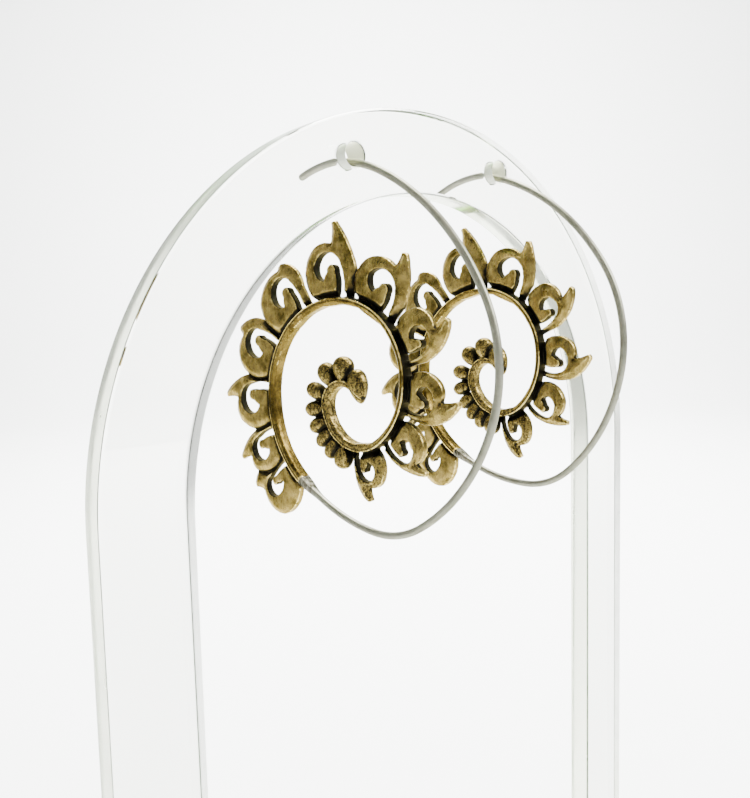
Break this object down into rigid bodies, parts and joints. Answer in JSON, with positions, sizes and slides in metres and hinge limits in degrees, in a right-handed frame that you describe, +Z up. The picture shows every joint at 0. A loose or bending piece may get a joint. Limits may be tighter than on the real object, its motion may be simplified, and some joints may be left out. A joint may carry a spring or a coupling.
{
  "type": "pair of spiral hoop earrings on a clear arch display stand",
  "caption": "Antiqued brass openwork spiral castings on large silver ear-wire hoops, hanging in the holes of a clear acrylic arch on a flat base.",
  "frame": {"origin": "middle of the base's underside, below the arch plate's mid-plane", "axes": "+Z up, +X along the arch plate from the front earring to the back one, +Y to the rear across its thickness"},
  "size_m": [0.104, 0.052, 0.136],
  "materials": {
    "clear_acrylic": "polished clear acrylic",
    "silver_wire": "satin silver",
    "antique_brass": "antiqued, dark patina in the recesses"
  },
  "bodies": {
    "root": {"display_arch": "clear_acrylic", "stand_base": "clear_acrylic", "front_ear_wire": "silver_wire", "back_ear_wire": "silver_wire", "front_spiral": "antique_brass", "back_spiral": "antique_brass"}
  },
  "joints": []
}
